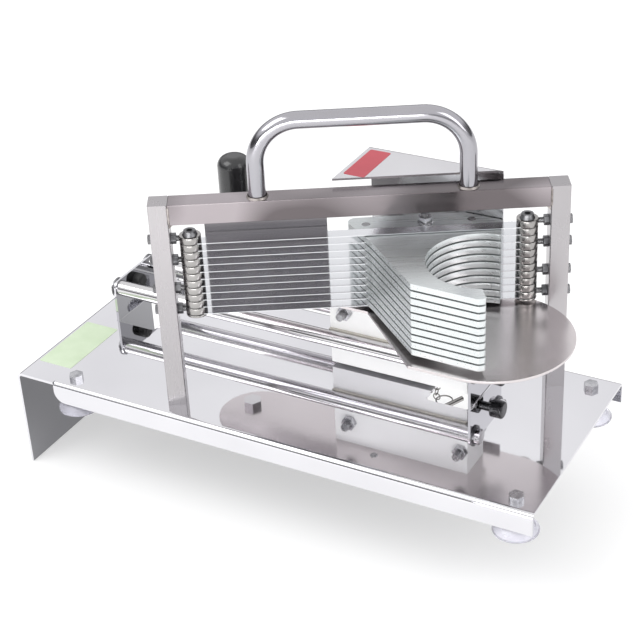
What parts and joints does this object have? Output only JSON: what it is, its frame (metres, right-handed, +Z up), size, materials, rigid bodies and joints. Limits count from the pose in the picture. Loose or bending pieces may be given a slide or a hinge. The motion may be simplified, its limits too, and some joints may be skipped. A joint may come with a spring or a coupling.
{
  "type": "manual tomato slicer",
  "caption": "Hand-operated tomato slicer: a carriage with a stacked pusher slides on two rods through a slanted frame of thin blades, on a polished sheet base with suction feet.",
  "frame": {"origin": "centre of the top surface of the base plate's deck", "axes": "+X along the base towards the end where the carriage rests, +Y to the back, +Z up"},
  "size_m": [0.412, 0.1763, 0.299],
  "materials": {
    "deck_steel": "mirror-polished stainless sheet",
    "frame_steel": "satin stainless bar",
    "beam_steel": "polished stainless bar with dark reflections",
    "spacer_steel": "turned steel",
    "cover_steel": "bright stainless sheet",
    "weld_steel": "bright weld bead",
    "tube_steel": "polished round bar",
    "polished_steel": "ground and polished steel",
    "dark_steel": "dark screw steel",
    "bolt_steel": "bright fastener steel",
    "blade_steel": "thin polished blade steel",
    "pusher_sheet": "pale brushed plate",
    "tray_steel": "satin stainless sheet",
    "block_plastic": "white block plastic, machined",
    "guard_steel": "polished stainless sheet with dark reflections",
    "black_plastic": "glossy black moulded plastic",
    "black_rubber": "black rubber",
    "bearing_plastic": "ivory acetal block",
    "foot_vinyl": "translucent soft vinyl",
    "pale_label": "plain pale green film",
    "red_label": "plain red film"
  },
  "bodies": {
    "base": {"base_plate": "deck_steel", "base_label": "pale_label", "post_front": "frame_steel", "post_rear": "frame_steel", "frame_beam": "beam_steel", "frame_welds": "weld_steel", "lift_handle": "tube_steel", "guide_rod_front": "polished_steel", "guide_rod_rear": "polished_steel", "rod_rings": "dark_steel", "end_bumper": "black_rubber", "stop_screw": "black_plastic", "foot_bolts": "bolt_steel", "suction_foot_1": "foot_vinyl", "suction_foot_2": "foot_vinyl", "suction_foot_3": "foot_vinyl", "suction_foot_4": "foot_vinyl", "blade_01": "blade_steel", "blade_02": "blade_steel", "blade_03": "blade_steel", "blade_04": "blade_steel", "blade_05": "blade_steel", "blade_06": "blade_steel", "blade_07": "blade_steel", "blade_08": "blade_steel", "blade_09": "blade_steel", "blade_10": "blade_steel", "blade_11": "blade_steel", "spacers_front": "spacer_steel", "spacers_rear": "spacer_steel", "stack_screws": "dark_steel", "tension_screws": "dark_steel", "tension_nuts": "dark_steel", "lock_pin": "spacer_steel"},
    "carriage": {"carriage_plate": "tray_steel", "slide_block": "block_plastic", "block_bolts": "bolt_steel", "block_nuts": "bolt_steel", "guide_strip": "bearing_plastic", "bearing_rear_left": "bearing_plastic", "bearing_rear_right": "bearing_plastic", "pusher_plate_01": "pusher_sheet", "pusher_plate_02": "pusher_sheet", "pusher_plate_03": "pusher_sheet", "pusher_plate_04": "pusher_sheet", "pusher_plate_05": "pusher_sheet", "pusher_plate_06": "pusher_sheet", "pusher_plate_07": "pusher_sheet", "pusher_plate_08": "pusher_sheet", "pusher_plate_09": "pusher_sheet", "pusher_plate_10": "pusher_sheet", "pusher_bolts": "bolt_steel", "pusher_washers": "bolt_steel", "pusher_nut": "bolt_steel", "hand_guard": "guard_steel", "guard_screws": "bolt_steel", "back_cover": "cover_steel", "cover_label": "red_label", "handle_stud": "polished_steel", "grip": "black_plastic"}
  },
  "joints": [
    {"name": "carriage_slide", "type": "slide", "parent": "base", "child": "carriage", "axis": [1, 0, 0], "range_m": [-0.175, 0]}
  ]
}
